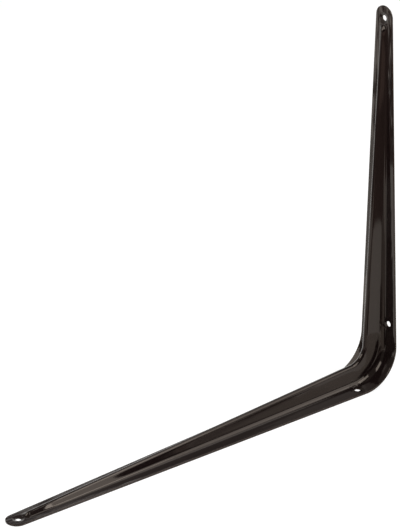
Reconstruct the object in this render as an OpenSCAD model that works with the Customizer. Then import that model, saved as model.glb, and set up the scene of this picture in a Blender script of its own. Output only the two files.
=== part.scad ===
// Shelf bracket pressed from one steel sheet: two tapering arms joined by a round bend,
// stiffened by a hollow rib that rises on the inside of the corner and fades out at the tips.
// The wall face is the plane x = 0, the shelf face is the plane z = 0, and y = 0 is the
// middle of the width. The origin is where the three planes meet.

/* [Arms] */
// Length of the wall arm, measured from the shelf face
wall_len = 250; // [180:5:400]
// Length of the shelf arm, measured from the wall face
shelf_len = 300; // [180:5:500]
// Width across the middle of the bend
corner_w = 32; // [26:0.5:44]
// Width of the round tips
tip_w = 14; // [12:0.5:18]
// Radius of the bend between the arms, on the outside
bend_r = 25; // [18:1:40]

/* [Sheet] */
// Thickness of the steel sheet
sheet_t = 1.2; // [0.8:0.1:1.6]
// Radius that softens the edges of the sheet
edge_r = 0.3; // [0.1:0.05:0.35]

/* [Rib] */
// Height of the rib above the flanges, round the bend
rib_h = 12.6; // [6:0.2:14]
// Height from which the rib grows, at the start of its ramp
rib_end_h = 2; // [0.5:0.1:3]
// Flat flange beside the rib, at the middle of the bend
flange_w = 8.2; // [6:0.1:10]
// Flat flange beside the rib, near a tip
flange_end_w = 3.6; // [2.6:0.1:4.4]
// Radius of the fold at the foot of the rib, round the bend
foot_r = 4.2; // [2:0.1:6]
// Radius of the fold at the foot of the rib, near a tip
foot_end_r = 1.4; // [0.6:0.1:3]
// Radius inside the crest of the rib, round the bend
crest_r = 0.8; // [0.4:0.1:2]
// Radius inside the crest of the rib, near a tip
crest_end_r = 0.4; // [0.2:0.1:1]
// Length of the ramp that lifts the rib out of the flat tip
ramp_len = 4; // [3:1:40]
// Flat left between the centre of a tip hole and the ramp
ramp_gap = 4; // [4:0.2:12]

/* [Screw holes] */
// Diameter of the screw holes
hole_d = 3.6; // [3:0.1:5]
// Diameter of the dish pressed round a hole for the screw head
dish_d = 7.4; // [6:0.1:9]
// Depth of the dish
dish_depth = 0.5; // [0.2:0.1:0.7]
// Distance of a tip hole from the end of its arm
tip_hole = 8; // [6:0.5:12]
// Distance of the wall arm's low hole above the end of the bend
wall_hole = 13; // [0:0.5:40]
// Distance of the shelf arm's inner hole past the end of the bend
shelf_hole = 1.5; // [0:0.1:40]
// Distance of these two holes from the foot of the rib
hole_gap = 1.1; // [0:0.1:3]

/* [Hidden] */
enamel = "#2b211d";

tip_r = tip_w / 2;
corner_half = corner_w / 2;
half_arc = bend_r * PI / 4;
ramp_start = tip_hole + ramp_gap;
hole_sides = 64;
// Shares of the rib's half width that the crest, and both folds together, take at most
crest_share = 0.6;
fold_share = 0.92;
// Least distance between two steps under the crest
crease = 0.02;
// How far the cutters stand clear of the sheet
reach = 3;

// Steps of the loft: along a round tip, a ramp, an arm and half of the bend
tip_steps = 10;
ramp_steps = 8;
arm_steps = 10;
bend_steps = 9;
// Steps of the section: over half of the crest, round one foot, and round one edge
crest_steps = 5;
foot_steps = 6;
edge_steps = 2;
// Angle of the first step round a tip, and the angle over which the steps of a fold close up
tip_first = 6;
fold_spread = 80;
// Shares of the rib's half width that the steps of a fold, and the wall, get at least
step_share = 1 / 4;
wall_share = 1 / 8;

function lerp(a, b, k) = a + (b - a) * k;
function clamp(k) = min(1, max(0, k));
function ease(k) = k * k * (3 - 2 * k);

// In what follows, arm is the length of an arm and e is a distance from its tip. The bend
// starts at e = straight(arm), and beyond it e follows the outside of the bend.
function straight(arm) = arm - bend_r;

// Angle between an arm's edge and its middle line, with the edge tangent to the round tip
function taper(arm) =
    let (d = straight(arm) + half_arc / 2 - tip_r)
    acos(tip_r / norm([corner_half, d])) - atan2(d, corner_half);

// Distance from an arm's tip at which its round end goes over into the straight edges
function round_end(arm) = tip_r * (1 - sin(taper(arm)));

// Half of the width of the outline, drawn in by the margin m
function inset_at(m, e, arm) =
    let (a = taper(arm), past = (e - straight(arm)) / half_arc)
    e < round_end(arm) ? sqrt(max(0, (tip_r - m) * (tip_r - m) - (tip_r - e) * (tip_r - e)))
    : past < 0 ? corner_half - half_arc * (0.5 - past) * tan(a) - m
    : corner_half - half_arc / 2 * (1 - past) * (1 - past) * tan(a) - m;

function half_width(e, arm) = inset_at(0, e, arm);

// How far the softened edge lies below a face of the sheet, at a distance y from the middle
function edge_drop(y, e, arm) =
    let (round_tip = tip_r - norm([tip_r - e, y]), straight_side = half_width(e, arm) - y)
    let (margin = e < round_end(arm) ? round_tip : straight_side)
    let (k = 1 - clamp(margin / edge_r))
    edge_r * (1 - sqrt(1 - k * k));

// 0 at the width of a tip, 1 at the width of the bend
function broad(e, arm) = clamp((half_width(e, arm) - tip_r) / (corner_half - tip_r));

function flange(e, arm) =
    lerp(flange_end_w, flange_w, broad(e, arm)) * min(1, half_width(e, arm) / tip_r);

// Half of the rib's width, from the middle to the line where its foot leaves the flange
function rib_half(e, arm) = half_width(e, arm) - flange(e, arm);

function rib_height(e, arm) =
    let (along = clamp((e - ramp_start) / (straight(arm) - ramp_start)))
    lerp(rib_end_h, rib_h, along) * ease(clamp((e - ramp_start) / ramp_len));

// Section of the rib on the face that shows, as [half width, height, crest radius, foot
// radius, slope of the wall]. The wall is the straight line that touches both folds.
function rib_form(e, arm) =
    let (half = rib_half(e, arm), h = rib_height(e, arm), wide = broad(e, arm))
    let (crest = min(sheet_t + lerp(crest_end_r, crest_r, wide), crest_share * half))
    let (foot = min(lerp(foot_end_r, foot_r, wide), fold_share * half - crest))
    let (folds = crest + foot)
    let (slope = asin(folds / norm([half, h - folds])) + atan2(h - folds, half))
    [half, h, crest, foot, slope];

// Slope of the section at a distance y from the middle
function slope_at(y, form) =
    let (half = form[0], crest = form[2], foot = form[3], slope = form[4])
    y >= half ? 0
    : y < crest * sin(slope) ? asin(y / crest)
    : y > half - foot * sin(slope) ? asin((half - y) / foot)
    : slope;

// Height of the section above the flange at a distance y from the middle
function height_at(y, form) =
    let (half = form[0], h = form[1], crest = form[2], foot = form[3], slope = form[4])
    let (side = crest * sin(slope), a = slope_at(y, form))
    y >= half ? 0
    : y <= side ? h - crest * (1 - cos(a))
    : y > half - foot * sin(slope) ? foot * (1 - cos(a))
    : h - crest * (1 - cos(slope)) - (y - side) * tan(slope);

// Distances from the middle at which the section is drawn, close together on folds and edges
function stops(e, arm) =
    let (form = rib_form(e, arm), half = form[0], crest = form[2], foot = form[3], slope = form[4])
    let (side = max(crest * sin(slope), step_share * half))
    let (room = (1 - wall_share) * half - side)
    let (base = max(min(foot * sin(slope), room), step_share * half))
    concat(
        [for (i = [0 : crest_steps]) side * sin(fold_spread * i / crest_steps) / sin(fold_spread)],
        [for (i = [0 : foot_steps])
            half - base * sin(fold_spread * (1 - i / foot_steps)) / sin(fold_spread)],
        [for (i = [0 : edge_steps])
            let (share = (i + 1) / (edge_steps + 1), m = edge_r * (1 - sin(90 * i / edge_steps)))
            max(lerp(half, half_width(e, arm), share), inset_at(m, e, arm))]
    );

// The two skins of half a section, as [distance from the middle, depth from the outside]
function front_skin(e, arm) =
    let (form = rib_form(e, arm))
    [for (y = stops(e, arm)) [y, sheet_t + height_at(y, form) - edge_drop(y, e, arm)]];

function back_skin(e, arm) =
    let (form = rib_form(e, arm), at = stops(e, arm))
    [for (i = [0 : len(at) - 1])
        let (y = at[i], a = slope_at(y, form), drop = edge_drop(y, e, arm))
        [max(y - sheet_t * sin(a), i * crease),
         sheet_t + height_at(y, form) - sheet_t * cos(a) + drop]];

// The whole section as a closed ring: across the front and back along the rear
function across(skin) =
    concat(
        [for (i = [len(skin) - 1 : -1 : 1]) [-skin[i][0], skin[i][1]]],
        skin
    );

function section(e, arm) =
    let (back = across(back_skin(e, arm)))
    concat(across(front_skin(e, arm)), [for (i = [len(back) - 1 : -1 : 0]) back[i]]);

// A section point placed on the wall arm, on its half of the bend too
function on_wall(e, arm, p) =
    let (turn = max(0, e - straight(arm)) / bend_r * 180 / PI, r = bend_r - p[1])
    e <= straight(arm) ? [p[1], p[0], arm - e]
    : [bend_r - r * cos(turn), p[0], bend_r - r * sin(turn)];

// The shelf arm is the wall arm turned over the diagonal of the corner
function on_shelf(e, arm, p) =
    let (q = on_wall(e, arm, p))
    [q[2], q[1], q[0]];

// Lengths at which an arm's sections stand, from its tip to the middle of the bend
function stations(arm) =
    let (last = 90 - taper(arm), ramp_end = ramp_start + ramp_len)
    concat(
        [for (i = [0 : tip_steps]) tip_r * (1 - cos(lerp(tip_first, last, i / tip_steps)))],
        [for (i = [0 : ramp_steps]) lerp(ramp_start, ramp_end, i / ramp_steps)],
        [for (i = [1 : arm_steps]) lerp(ramp_end, straight(arm), i / arm_steps)],
        [for (i = [1 : bend_steps]) straight(arm) + half_arc * i / bend_steps]
    );

// The pressed sheet without its holes, lofted from the wall tip to the shelf tip
module pressed_sheet() {
    wall_at = stations(wall_len);
    shelf_at = stations(shelf_len);
    rings = concat(
        [for (e = wall_at) [for (p = section(e, wall_len)) on_wall(e, wall_len, p)]],
        [for (i = [len(shelf_at) - 2 : -1 : 0])
            let (e = shelf_at[i])
            [for (p = section(e, shelf_len)) on_shelf(e, shelf_len, p)]]
    );
    count = len(rings[0]);
    last = len(rings) - 1;
    sides = [
        for (k = [0 : last - 1], i = [0 : count - 1])
            let (j = (i + 1) % count, a = k * count, b = a + count)
            each [[a + i, a + j, b + j], [a + i, b + j, b + i]]
    ];
    ends = [
        for (i = [0 : count / 2 - 2])
            let (j = count - 1 - i, b = last * count)
            each [[i, j, i + 1], [i + 1, j, j - 1],
                  [b + i, b + i + 1, b + j], [b + i + 1, b + j - 1, b + j]]
    ];
    polyhedron(points = [for (ring = rings) each ring], faces = concat(sides, ends), convexity = 6);
}

// A screw hole with its dish, cut from the front, with z = 0 on the outside of the sheet
module screw_cut() {
    translate([0, 0, -reach])
        cylinder(d = hole_d, h = 2 * reach + sheet_t, $fn = hole_sides);
    translate([0, 0, sheet_t])
        rotate_extrude($fn = hole_sides)
            polygon([
                [0, -dish_depth],
                [hole_d / 2, -dish_depth],
                [dish_d / 2, 0],
                [dish_d / 2, reach],
                [0, reach]
            ]);
}

module wall_cut(e, y) {
    translate([0, y, wall_len - e])
        rotate([0, 90, 0])
            screw_cut();
}

module shelf_cut(e, y) {
    translate([shelf_len - e, y, 0])
        screw_cut();
}

module bracket() {
    wall_low = straight(wall_len) - wall_hole;
    shelf_low = straight(shelf_len) - shelf_hole;
    color(enamel)
        difference() {
            pressed_sheet();
            wall_cut(tip_hole, 0);
            wall_cut(wall_low, rib_half(wall_low, wall_len) + hole_gap);
            shelf_cut(tip_hole, 0);
            shelf_cut(shelf_low, rib_half(shelf_low, shelf_len) + hole_gap);
        }
}

bracket();
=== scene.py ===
import math
import bmesh
import bpy
from mathutils import Matrix, Vector


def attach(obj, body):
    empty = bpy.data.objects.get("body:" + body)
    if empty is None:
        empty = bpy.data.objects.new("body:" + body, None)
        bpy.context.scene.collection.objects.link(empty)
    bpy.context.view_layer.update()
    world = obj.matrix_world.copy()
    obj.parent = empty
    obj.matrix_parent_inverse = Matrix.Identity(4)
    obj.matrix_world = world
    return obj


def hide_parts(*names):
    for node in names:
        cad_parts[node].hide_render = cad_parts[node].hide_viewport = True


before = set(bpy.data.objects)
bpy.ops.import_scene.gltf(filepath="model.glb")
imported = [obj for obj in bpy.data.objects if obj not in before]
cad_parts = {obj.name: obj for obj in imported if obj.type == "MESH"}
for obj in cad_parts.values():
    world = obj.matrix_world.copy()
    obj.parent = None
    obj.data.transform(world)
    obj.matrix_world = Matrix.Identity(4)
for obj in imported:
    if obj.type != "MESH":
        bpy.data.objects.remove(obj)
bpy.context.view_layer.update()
scene = bpy.context.scene
scene.view_settings.view_transform = "Standard"
print("stage 1: frame loaded, nodes", sorted(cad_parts))


# Camera, at the photograph's viewing angle

cameraSetup = {
    "place": (1.9094, 2.0185, 1.4149),
    "looksAlong": (-0.59198, -0.67879, -0.43452),
    "lens": 337.2,
    "sensor": 36.0,
}


def addCamera(setup):
    data = bpy.data.cameras.new("studioCamera")
    data.lens = setup["lens"]
    data.sensor_width = setup["sensor"]
    camera = bpy.data.objects.new("studioCamera", data)
    camera.location = setup["place"]
    camera.rotation_euler = Vector(setup["looksAlong"]).to_track_quat("-Z", "Y").to_euler()
    scene.collection.objects.link(camera)
    scene.camera = camera


addCamera(cameraSetup)
print("stage 2: camera set")


# The pressed sheet, in millimetres until it is scaled at the end

sheet = {
    "wallLength": 250.0,
    "shelfLength": 300.0,
    "cornerWidth": 32.0,
    "tipWidth": 14.0,
    "bendRadius": 25.0,
    "thickness": 1.2,
    "ribHeight": 12.6,
    "ribEndHeight": 2.0,
    "flange": 8.2,
    "flangeEnd": 3.6,
    "foot": 4.2,
    "footEnd": 1.4,
    "crest": 0.8,
    "crestEnd": 0.4,
    "rampLength": 4.0,
    "rampGap": 4.0,
    "crestShare": 0.6,
    "foldShare": 0.92,
    "edgeRound": 0.3,
    "edgeSegments": 4,
    "sharpFrom": math.radians(38),
}

screwHole = {
    "diameter": 3.6,
    "dish": 7.4,
    "dishDepth": 0.5,
    "fromTip": 8.0,
    "wallInner": 13.0,
    "shelfInner": 1.5,
    "fromFoot": 1.1,
    "rimRound": 0.3,
    "opened": 5.2,
    "edgeRound": 0.1,
    "sides": 72,
}

meshSteps = {
    "tip": 14,
    "fine": 0.75,
    "long": 3.0,
    "aroundHole": 7.0,
    "crest": 9,
    "wall": 4,
    "foot": 9,
    "flange": 9,
    "spread": math.radians(80),
    "leastFold": 0.25,  # least share of the rib's half width for the columns of one fold
    "mostFolds": 0.875,  # most for crest and foot together
    "skirt": 2.0,  # first ring round a dish, in rim rounds past the dish
    "rimRings": 3,
    "coneRings": 4,
}

millimetre = 0.001
tipRadius = sheet["tipWidth"] / 2
cornerHalf = sheet["cornerWidth"] / 2
halfArc = sheet["bendRadius"] * math.pi / 4
rampStart = screwHole["fromTip"] + sheet["rampGap"]


def lerp(a, b, k):
    return a + (b - a) * k


def clamp(k):
    return min(1.0, max(0.0, k))


def ease(k):
    return k * k * (3 - 2 * k)


def straightPart(arm):
    return arm - sheet["bendRadius"]


def taper(arm):
    d = straightPart(arm) + halfArc / 2 - tipRadius
    return math.acos(tipRadius / math.hypot(cornerHalf, d)) - math.atan2(d, cornerHalf)


def halfWidth(e, arm):  # e is the distance from the arm's tip, past the round end
    past = (e - straightPart(arm)) / halfArc
    lean = halfArc * math.tan(taper(arm))
    if past < 0:
        return cornerHalf - lean * (0.5 - past)
    return cornerHalf - lean / 2 * (1 - past) ** 2


def broad(e, arm):
    return clamp((halfWidth(e, arm) - tipRadius) / (cornerHalf - tipRadius))


def ribForm(e, arm):  # half width, height, crest radius, foot radius and wall slope
    wide = broad(e, arm)
    half = halfWidth(e, arm) - lerp(sheet["flangeEnd"], sheet["flange"], wide)
    along = clamp((e - rampStart) / (straightPart(arm) - rampStart))
    lift = ease(clamp((e - rampStart) / sheet["rampLength"]))
    high = lerp(sheet["ribEndHeight"], sheet["ribHeight"], along) * lift
    crest = sheet["thickness"] + lerp(sheet["crestEnd"], sheet["crest"], wide)
    crest = min(crest, sheet["crestShare"] * half)
    foot = min(lerp(sheet["footEnd"], sheet["foot"], wide), sheet["foldShare"] * half - crest)
    folds = crest + foot
    slope = math.asin(folds / math.hypot(half, high - folds)) + math.atan2(high - folds, half)
    return half, high, crest, foot, slope


def slopeAt(y, form):
    half, high, crest, foot, slope = form
    if y >= half:
        return 0.0
    if y < crest * math.sin(slope):
        return math.asin(y / crest)
    if y > half - foot * math.sin(slope):
        return math.asin((half - y) / foot)
    return slope


def heightAt(y, form):
    half, high, crest, foot, slope = form
    side = crest * math.sin(slope)
    if y >= half:
        return 0.0
    if y <= side:
        return high - crest * (1 - math.cos(slopeAt(y, form)))
    if y > half - foot * math.sin(slope):
        return foot * (1 - math.cos(slopeAt(y, form)))
    return high - crest * (1 - math.cos(slope)) - (y - side) * math.tan(slope)


def rearHeightAt(y, form):  # height of the rear skin straight under a point of the flange or foot
    half, high, crest, foot, slope = form
    big = foot + sheet["thickness"]
    inside = min(max(half - y, 0.0), big * math.sin(slope))
    return big - math.sqrt(big ** 2 - inside ** 2)


def columnStops(e, arm):  # distances from the middle line, closer together on the folds
    half, high, crest, foot, slope = ribForm(e, arm)
    spread = meshSteps["spread"]
    least = half * meshSteps["leastFold"]
    side = max(crest * math.sin(slope), least)
    base = max(min(foot * math.sin(slope), half * meshSteps["mostFolds"] - side), least)
    stops = []
    for i in range(meshSteps["crest"]):
        stops.append(side * math.sin(spread * i / meshSteps["crest"]) / math.sin(spread))
    for i in range(meshSteps["wall"]):
        stops.append(lerp(side, half - base, i / meshSteps["wall"]))
    for i in range(meshSteps["foot"]):
        stops.append(half - base * math.sin(spread * (1 - i / meshSteps["foot"])) / math.sin(spread))
    for i in range(meshSteps["flange"] + 1):
        stops.append(lerp(half, halfWidth(e, arm), i / meshSteps["flange"]))
    return stops


def armRows(arm, inner):  # rows of the grid from the tip to the middle of the bend
    rows = [("tip", 1 - i / meshSteps["tip"]) for i in range(meshSteps["tip"])]
    near = meshSteps["aroundHole"]
    hole = straightPart(arm) - inner
    marks = [tipRadius, rampStart, rampStart + sheet["rampLength"]]
    marks += [hole - near, min(hole + near, straightPart(arm)), straightPart(arm)]
    fine, long = meshSteps["fine"], meshSteps["long"]
    steps = [fine, fine, long, fine, long]
    for start, end, step in zip(marks, marks[1:], steps):
        count = math.ceil((end - start) / step)
        rows += [("arm", lerp(start, end, i / count)) for i in range(count)]
    count = math.ceil(halfArc / fine)
    rows += [("arm", straightPart(arm) + halfArc * i / count) for i in range(count + 1)]
    return rows


def blankLength():  # length of the flat blank from tip to tip
    return straightPart(sheet["wallLength"]) + straightPart(sheet["shelfLength"]) + 2 * halfArc


def armAt(x):  # the arm's length and the distance from its tip, at a place x along the blank
    if x <= straightPart(sheet["wallLength"]) + halfArc:
        return sheet["wallLength"], x
    return sheet["shelfLength"], blankLength() - x


def bent(x, y, depth):  # depth is measured inwards from the outside of the sheet
    arm, e = armAt(x)
    bend = sheet["bendRadius"]
    if e <= straightPart(arm):
        a, b = depth, arm - e
    else:
        turn = (e - straightPart(arm)) / bend
        a = bend - (bend - depth) * math.cos(turn)
        b = bend - (bend - depth) * math.sin(turn)
    return Vector((a, y, b)) if e == x else Vector((b, y, a))


def dished(surface, r):  # height of the front skin at a distance r from a screw hole
    bore = screwHole["diameter"] / 2
    rim = screwHole["dish"] / 2
    soft = screwHole["rimRound"]
    cone = sheet["thickness"] - screwHole["dishDepth"] * (rim - r) / (rim - bore)
    return lerp(min(surface, cone), surface, ease(clamp((r - rim + soft) / (2 * soft))))


def layBlank():  # a flat grid in the outline of the blank, with x from the wall tip to the shelf tip
    wall, shelf = sheet["wallLength"], sheet["shelfLength"]
    rows = [(wall, kind, k) for kind, k in armRows(wall, screwHole["wallInner"])]
    rows += [(shelf, kind, k) for kind, k in reversed(armRows(shelf, screwHole["shelfInner"])[:-1])]
    wallRows = len(armRows(wall, screwHole["wallInner"]))
    stops = [columnStops(tipRadius if kind == "tip" else k, arm) for arm, kind, k in rows]
    rowCount, halfColumns = len(rows) - 1, len(stops[0]) - 1
    bm = bmesh.new()
    bmesh.ops.create_grid(bm, x_segments=rowCount, y_segments=2 * halfColumns, size=1.0)
    for v in bm.verts:
        i = round((v.co.x + 1) / 2 * rowCount)
        j = round(v.co.y * halfColumns)
        kind, k = rows[i][1:]
        e, y = k, math.copysign(stops[i][abs(j)], j)
        if kind == "tip":  # these rows close up into the round end
            b = y / stops[i][-1]
            e = tipRadius * (1 - k * math.sqrt(1 - b * b / 2))
            y = tipRadius * b * math.sqrt(1 - k * k / 2)
        v.co = (e if i < wallRows else blankLength() - e, y, 0)
    print("stage 3: blank laid out,", rowCount, "by", 2 * halfColumns)
    return bm


def cutHole(bm, fromHole, x, y):
    centre = Vector((x, y, 0))
    opened = screwHole["opened"]
    gone = [f for f in bm.faces if all((v.co - centre).length < opened for v in f.verts)]
    bmesh.ops.delete(bm, geom=gone, context="FACES")
    loop = [e for e in bm.edges if e.is_boundary]
    loop = [e for e in loop if all((v.co - centre).length < opened for v in e.verts)]
    rim = screwHole["dish"] / 2
    bore = screwHole["diameter"] / 2
    soft = screwHole["rimRound"]
    rimRings, coneRings = meshSteps["rimRings"], meshSteps["coneRings"]
    radii = [rim + meshSteps["skirt"] * soft]
    radii += [rim + soft * k / rimRings for k in range(rimRings, -rimRings - 1, -1)]
    radii += [lerp(rim - soft, bore, (k + 1) / coneRings) for k in range(coneRings)]
    bmesh.ops.create_circle(bm, cap_ends=False, radius=radii[0], segments=screwHole["sides"],
                            matrix=Matrix.Translation(centre))
    outer = edges = [e for e in bm.edges if e.is_wire]
    rings = [v for e in edges for v in e.verts]
    for r, smaller in zip(radii, radii[1:]):
        grown = bmesh.ops.extrude_edge_only(bm, edges=edges)["geom"]
        ring = [g for g in grown if isinstance(g, bmesh.types.BMVert)]
        edges = [g for g in grown if isinstance(g, bmesh.types.BMEdge)]
        edges = [e for e in edges if all(v in ring for v in e.verts)]
        bmesh.ops.scale(bm, vec=(smaller / r,) * 3, space=Matrix.Translation(-centre), verts=ring)
        rings += ring
    for v in rings:
        v[fromHole] = (v.co - centre).length
    bmesh.ops.bridge_loops(bm, edges=loop + outer)


def edgeDistance(x, y, r):  # distance to the nearest edge of the sheet or of a hole
    arm, e = armAt(x)
    if e < tipRadius:
        outside = tipRadius - math.hypot(e - tipRadius, y)
    else:
        outside = halfWidth(e, arm) - abs(y)
    return min(outside, r - screwHole["diameter"] / 2) if r else outside


def buildSheet():
    bm = layBlank()
    bm.verts.layers.float.new("fromHole")
    bm.verts.layers.float.new("margin")
    fromHole = bm.verts.layers.float["fromHole"]
    margin = bm.verts.layers.float["margin"]
    length = blankLength()
    for arm, inner in ((sheet["wallLength"], "wallInner"), (sheet["shelfLength"], "shelfInner")):
        e = straightPart(arm) - screwHole[inner]
        y = ribForm(e, arm)[0] + screwHole["fromFoot"]
        onWall = arm == sheet["wallLength"]
        cutHole(bm, fromHole, screwHole["fromTip"] if onWall else length - screwHole["fromTip"], 0)
        cutHole(bm, fromHole, e if onWall else length - e, y)

    grown = bmesh.ops.extrude_face_region(bm, geom=bm.faces[:], use_keep_orig=True)["geom"]
    rear = set(g for g in grown if isinstance(g, bmesh.types.BMVert))
    walls = set(f for f in bm.faces if 0 < sum(v in rear for v in f.verts) < len(f.verts))
    thickness = sheet["thickness"]
    for v in bm.verts:  # the blank is pressed and bent
        x, y, r = v.co.x, v.co.y, v[fromHole]
        arm, e = armAt(x)
        form = ribForm(max(e, tipRadius), arm)
        depth = thickness + heightAt(abs(y), form)
        v[margin] = edgeDistance(x, y, r)
        if v not in rear:
            depth = dished(depth, r) if r else depth
        elif r:
            depth = rearHeightAt(abs(y), form)
        else:
            lean = slopeAt(abs(y), form)
            depth -= thickness * math.cos(lean)
            y = math.copysign(max(abs(y) - thickness * math.sin(lean), 0), y)
        v.co = bent(x, y, depth)
    bmesh.ops.recalc_face_normals(bm, faces=bm.faces[:])

    rims = [e for e in bm.edges if sum(f in walls for f in e.link_faces) == 1]
    holeRims = [e for e in rims if all(v[fromHole] for v in e.verts)]
    sheetRims = [e for e in rims if not any(v[fromHole] for v in e.verts)]
    for edges, offset in ((sheetRims, sheet["edgeRound"]), (holeRims, screwHole["edgeRound"])):
        bmesh.ops.bevel(bm, geom=edges, offset=offset, offset_type="OFFSET", profile=0.5,
                        segments=sheet["edgeSegments"], affect="EDGES", material=-1)
    bmesh.ops.scale(bm, vec=(millimetre,) * 3, verts=bm.verts)
    for f in bm.faces:
        f.smooth = True
    mesh = bpy.data.meshes.new("pressedSheet")
    bm.to_mesh(mesh)
    bm.free()
    mesh.attributes.remove(mesh.attributes["fromHole"])
    mesh.set_sharp_from_angle(angle=sheet["sharpFrom"])
    piece = bpy.data.objects.new("pressedSheet", mesh)
    scene.collection.objects.link(piece)
    print("stage 4: sheet pressed,", len(mesh.polygons), "faces")
    return piece


# Glossy dark brown enamel

enamel = {
    "brown": (0.0092, 0.0053, 0.0052, 1),
    "darkBrown": (0.0068, 0.0039, 0.0038, 1),
    # lighter brown at the edges: thinner paint and a painted highlight line
    "thinPaintAndHighlightColour": (0.026, 0.016, 0.012, 1),
    "sheen": (0.83, 0.71, 0.61, 1),
    "roughness": (0.05, 0.09),
    "ior": 1.5,
    "driftScale": 45.0,
    "driftDetail": 3.0,
    "patchScale": 160.0,
    "patchDetail": 4.0,
    "peelScale": 1800.0,
    "peelDepth": 0.0000004,
    "streakScale": (60.0, 340.0, 60.0),
    "streakDepth": 0.00006,
    "edgeBand": (0.0, 0.6),
}


def link(tree, fromNode, output, toNode, socket):
    tree.links.new(fromNode.outputs[output], toNode.inputs[socket])


def addNode(tree, kind, **values):
    node = tree.nodes.new(kind)
    for name, value in values.items():
        if name in node.inputs:
            node.inputs[name].default_value = value
        else:
            setattr(node, name, value)
    return node


def enamelMaterial(look):
    material = bpy.data.materials.new("brownEnamel")
    material.use_nodes = True
    tree = material.node_tree
    shader = tree.nodes["Principled BSDF"]
    shader.inputs["IOR"].default_value = look["ior"]
    shader.inputs["Specular Tint"].default_value = look["sheen"]
    place = addNode(tree, "ShaderNodeTexCoord")

    drift = addNode(tree, "ShaderNodeTexNoise", Scale=look["driftScale"],
                    Detail=look["driftDetail"])  # slow drift of the colour
    link(tree, place, "Object", drift, "Vector")
    tone = addNode(tree, "ShaderNodeMix", data_type="RGBA")
    tone.inputs["A"].default_value = look["darkBrown"]
    tone.inputs["B"].default_value = look["brown"]
    link(tree, drift, "Fac", tone, "Factor")

    margin = addNode(tree, "ShaderNodeAttribute", attribute_name="margin")  # paint runs thinner on edges, and the lighter brown there is also a painted highlight along the edges
    band = addNode(tree, "ShaderNodeMapRange")
    band.inputs["From Min"].default_value = look["edgeBand"][1]
    band.inputs["From Max"].default_value = look["edgeBand"][0]
    link(tree, margin, "Fac", band, "Value")
    patchy = addNode(tree, "ShaderNodeTexNoise", Scale=look["patchScale"], Detail=look["patchDetail"])
    link(tree, place, "Object", patchy, "Vector")
    thinPaintAndHighlightShare = addNode(tree, "ShaderNodeMath", operation="MULTIPLY")
    link(tree, band, "Result", thinPaintAndHighlightShare, 0)
    link(tree, patchy, "Fac", thinPaintAndHighlightShare, 1)
    # lighter brown near the edges of the sheet and holes: thinner paint and a painted highlight line
    thinPaintAndHighlightMix = addNode(tree, "ShaderNodeMix", data_type="RGBA")
    link(tree, thinPaintAndHighlightShare, "Value", thinPaintAndHighlightMix, "Factor")
    link(tree, tone, "Result", thinPaintAndHighlightMix, "A")
    thinPaintAndHighlightMix.inputs["B"].default_value = look["thinPaintAndHighlightColour"]
    link(tree, thinPaintAndHighlightMix, "Result", shader, "Base Color")

    gloss = addNode(tree, "ShaderNodeMapRange")
    gloss.inputs["To Min"].default_value = look["roughness"][0]
    gloss.inputs["To Max"].default_value = look["roughness"][1]
    link(tree, patchy, "Fac", gloss, "Value")
    link(tree, gloss, "Result", shader, "Roughness")

    peel = addNode(tree, "ShaderNodeTexNoise", Scale=look["peelScale"], Detail=1.0)  # orange peel
    link(tree, place, "Object", peel, "Vector")
    pitted = addNode(tree, "ShaderNodeBump", Distance=look["peelDepth"])
    link(tree, peel, "Fac", pitted, "Height")
    along = addNode(tree, "ShaderNodeMapping", Scale=look["streakScale"])  # faint lines along the arms
    link(tree, place, "Object", along, "Vector")
    streak = addNode(tree, "ShaderNodeTexNoise", Scale=1.0, Detail=1.0)
    link(tree, along, "Vector", streak, "Vector")
    drawn = addNode(tree, "ShaderNodeBump", Distance=look["streakDepth"])
    link(tree, streak, "Fac", drawn, "Height")
    link(tree, pitted, "Normal", drawn, "Normal")
    link(tree, drawn, "Normal", shader, "Normal")
    return material


pressedSheet = buildSheet()
pressedSheet.data.materials.append(enamelMaterial(enamel))
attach(pressedSheet, "root")
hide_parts("bracket")
print("stage 5: enamel on")


# White floor and soft studio light

floorLook = {
    "size": 60.0,
    "white": (0.86, 0.86, 0.85, 1),
    "shownWhite": (0.4, 0.4, 0.4, 1),
    "glow": 0.75,
}

backdrops = {  # white cards, as (x, y), width and height
    "rearBackdrop": {"place": (-0.854, -0.98), "size": (3.0, 0.9)},
}

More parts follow.
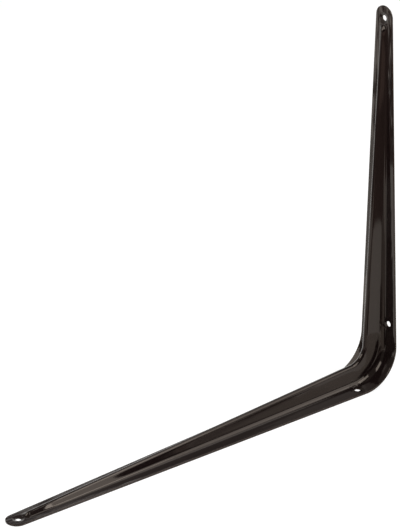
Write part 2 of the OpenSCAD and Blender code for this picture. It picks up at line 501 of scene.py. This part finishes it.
flags = {  # cards that only the gloss of the enamel shows, lying on the floor or standing; each glows in its own colour and lights nothing: the bright ones put painted highlights on the enamel, the dim ones painted shade and dark surroundings
    "leftFlag": {"place": (0.4353, -0.2427, 0.0003), "size": (0.32, 0.3), "turn": (0, 0, -46.8),
                 "colour": (0.16, 0.12, 0.11, 1)},
    "sideFlag": {"place": (0.8, 0.038, 0.0002), "size": (1.0, 0.376), "turn": (0, 0, 0),
                 "colour": (0.24, 0.18, 0.17, 1)},
    "frontFlag": {"place": (0.2, 0.836, 0.0003), "size": (3.0, 1.2), "turn": (0, 0, 0),
                  "colour": (0.24, 0.18, 0.17, 1)},
    "shadeFlag": {"place": (0.12, 0.03, 0.0003), "size": (0.2, 0.056), "turn": (0, 0, 0),
                  "colour": (0.72, 0.68, 0.64, 1)},
    "midFlag": {"place": (0.115, 0.147, 0.0003), "size": (0.17, 0.178), "turn": (0, 0, 0),
                "colour": (0.5, 0.47, 0.45, 1)},
    "footFlag": {"place": (0.034, 0.105, 0.0004), "size": (0.06, 0.07), "turn": (0, 0, 0),
                 "colour": (0.12, 0.1, 0.09, 1)},
    "bendShade": {"place": (-0.02, 0.034, 0.0002), "size": (0.08, 0.064), "turn": (0, 0, 0),
                  "colour": (0.8, 0.76, 0.72, 1)},
    "farFlag": {"place": (-0.7, 0.98, 0.125), "size": (1.2, 0.19), "turn": (90, 0, 35.5),
                "colour": (0.06, 0.05, 0.05, 1)},
    "viewerFlag": {"place": (0.342, 0.94, 0.325), "size": (2.0, 0.65), "turn": (90, 0, -20),
                   "colour": (0.02, 0.02, 0.02, 1)},
    "bendCard": {"place": (0.022, -0.043, 0.034), "size": (0.028, 0.02), "turn": (90, 0, 0),
                 "colour": (2.0, 1.95, 1.9, 1)},
    "armFlag": {"place": (0.0625, -0.15, 0.1079), "size": (0.165, 0.0088), "turn": (90, 0, 0),
                "colour": (0.34, 0.32, 0.31, 1)},
    "noseFlag": {"place": (0.258, 0.022, 0.033), "size": (0.03, 0.018), "turn": (0, 0, 0),
                 "colour": (0.08, 0.07, 0.07, 1)},
    "flangeCard": {"place": (0.2731, -0.3678, 0.0002), "size": (0.19, 0.094), "turn": (0, 0, -46.8),
                   "colour": (1.9, 1.85, 1.8, 1)},
    "wallTipCard": {"place": (0.3862, -0.4535, 0.0002), "size": (0.08, 0.0615), "turn": (0, 0, -46.8),
                    "colour": (2.0, 1.95, 1.9, 1)},
    "tipFlag": {"place": (0.195, -0.15, 0.1079), "size": (0.1, 0.0088), "turn": (90, 0, 0),
                "colour": (0.15, 0.14, 0.14, 1)},
    "frontTop": {"place": (0.2, 0.96, 0.0005), "size": (3.0, 1.0), "turn": (0, 0, 0),
                 "colour": (0.6, 0.47, 0.44, 1)},
}

lamps = {
    "overhead": {"place": (-0.793, 0.111, 1.024), "aim": (0.05, 0.0, 0.0),
                 "size": (1.2, 0.8), "power": 4.2},
    "leftBox": {"place": (0.718, -0.192, 0.67), "aim": (0.0, 0.0, 0.0),
                "size": (0.7, 0.45), "power": 3.8},
    "highBox": {"place": (-0.162, 0.565, 0.809), "aim": (0.0, 0.0, 0.0),
                "size": (0.54, 0.54), "power": 3.2},
    "sideBox": {"place": (-0.6, 0.85, 0.6), "aim": (0.13, 0.0, 0.0),
                "size": (0.8, 0.85), "power": 4.4},
}

room = {"fill": (0.75, 0.72, 0.68, 1), "strength": 0.3}


def floorMaterial(look):
    material = bpy.data.materials.new("whiteFloor")
    material.use_nodes = True
    tree = material.node_tree
    tree.nodes.remove(tree.nodes["Principled BSDF"])
    output = tree.nodes["Material Output"]
    rays = addNode(tree, "ShaderNodeLightPath")
    either = addNode(tree, "ShaderNodeMath", operation="MAXIMUM")
    link(tree, rays, "Is Camera Ray", either, 0)
    link(tree, rays, "Is Glossy Ray", either, 1)
    seen = addNode(tree, "ShaderNodeMath", operation="MAXIMUM")
    link(tree, either, "Value", seen, 0)
    link(tree, rays, "Is Transmission Ray", seen, 1)
    plain = addNode(tree, "ShaderNodeBsdfDiffuse", Color=look["white"])
    shadowed = addNode(tree, "ShaderNodeBsdfDiffuse", Color=look["shownWhite"])
    glow = addNode(tree, "ShaderNodeEmission", Strength=look["glow"])
    shown = addNode(tree, "ShaderNodeAddShader")
    link(tree, shadowed, "BSDF", shown, 0)
    link(tree, glow, "Emission", shown, 1)
    mix = addNode(tree, "ShaderNodeMixShader")
    link(tree, seen, "Value", mix, 0)
    link(tree, plain, "BSDF", mix, 1)
    link(tree, shown, "Shader", mix, 2)
    link(tree, mix, "Shader", output, "Surface")
    return material


def addCard(name, width, height, material):
    bm = bmesh.new()
    bmesh.ops.create_grid(bm, x_segments=1, y_segments=1, size=0.5)
    bmesh.ops.scale(bm, vec=(width, height, 1), verts=bm.verts)
    mesh = bpy.data.meshes.new(name)
    bm.to_mesh(mesh)
    bm.free()
    mesh.materials.append(material)
    card = bpy.data.objects.new(name, mesh)
    scene.collection.objects.link(card)
    return card


def standCard(card, x, y, height):  # stands on the floor and faces the origin
    card.location = (x, y, height / 2)
    card.rotation_euler = (math.pi / 2, 0, math.atan2(y, x) - math.pi / 2)


def addFloor(look, around):
    white = floorMaterial(look)
    addCard("whiteFloor", look["size"], look["size"], white)
    for name, setup in around.items():
        backdrop = addCard(name, *setup["size"], white)
        standCard(backdrop, *setup["place"], setup["size"][1])
        backdrop.visible_camera = False  # leaves the view from behind open


def flagMaterial(name, colour):
    material = bpy.data.materials.new(name)
    material.use_nodes = True
    tree = material.node_tree
    tree.nodes.remove(tree.nodes["Principled BSDF"])
    # the card glows in its colour, seen only in reflections: a painted highlight when bright, painted
    # shade when dim
    cardGlow = addNode(tree, "ShaderNodeEmission", Color=colour)
    link(tree, cardGlow, "Emission", tree.nodes["Material Output"], "Surface")
    return material


def addFlag(name, setup):
    flag = addCard(name, *setup["size"], flagMaterial(name, setup["colour"]))
    flag.location = setup["place"]
    flag.rotation_euler = [math.radians(angle) for angle in setup["turn"]]
    flag.visible_camera = False
    flag.visible_diffuse = False
    flag.visible_transmission = False
    flag.visible_shadow = False


def addLamp(name, setup):
    data = bpy.data.lights.new(name, "AREA")
    data.shape = "RECTANGLE"
    data.size, data.size_y = setup["size"]
    data.energy = setup["power"]
    lamp = bpy.data.objects.new(name, data)
    lamp.location = setup["place"]
    aim = Vector(setup["aim"]) - Vector(setup["place"])
    lamp.rotation_euler = aim.to_track_quat("-Z", "Y").to_euler()
    scene.collection.objects.link(lamp)


def lightRoom(look):
    world = bpy.data.worlds.new("studio")
    world.use_nodes = True
    background = world.node_tree.nodes["Background"]
    background.inputs["Color"].default_value = look["fill"]
    background.inputs["Strength"].default_value = look["strength"]
    scene.world = world


addFloor(floorLook, backdrops)
for name, setup in flags.items():
    addFlag(name, setup)
for name, setup in lamps.items():
    addLamp(name, setup)
lightRoom(room)
print("stage 6: floor and light set")
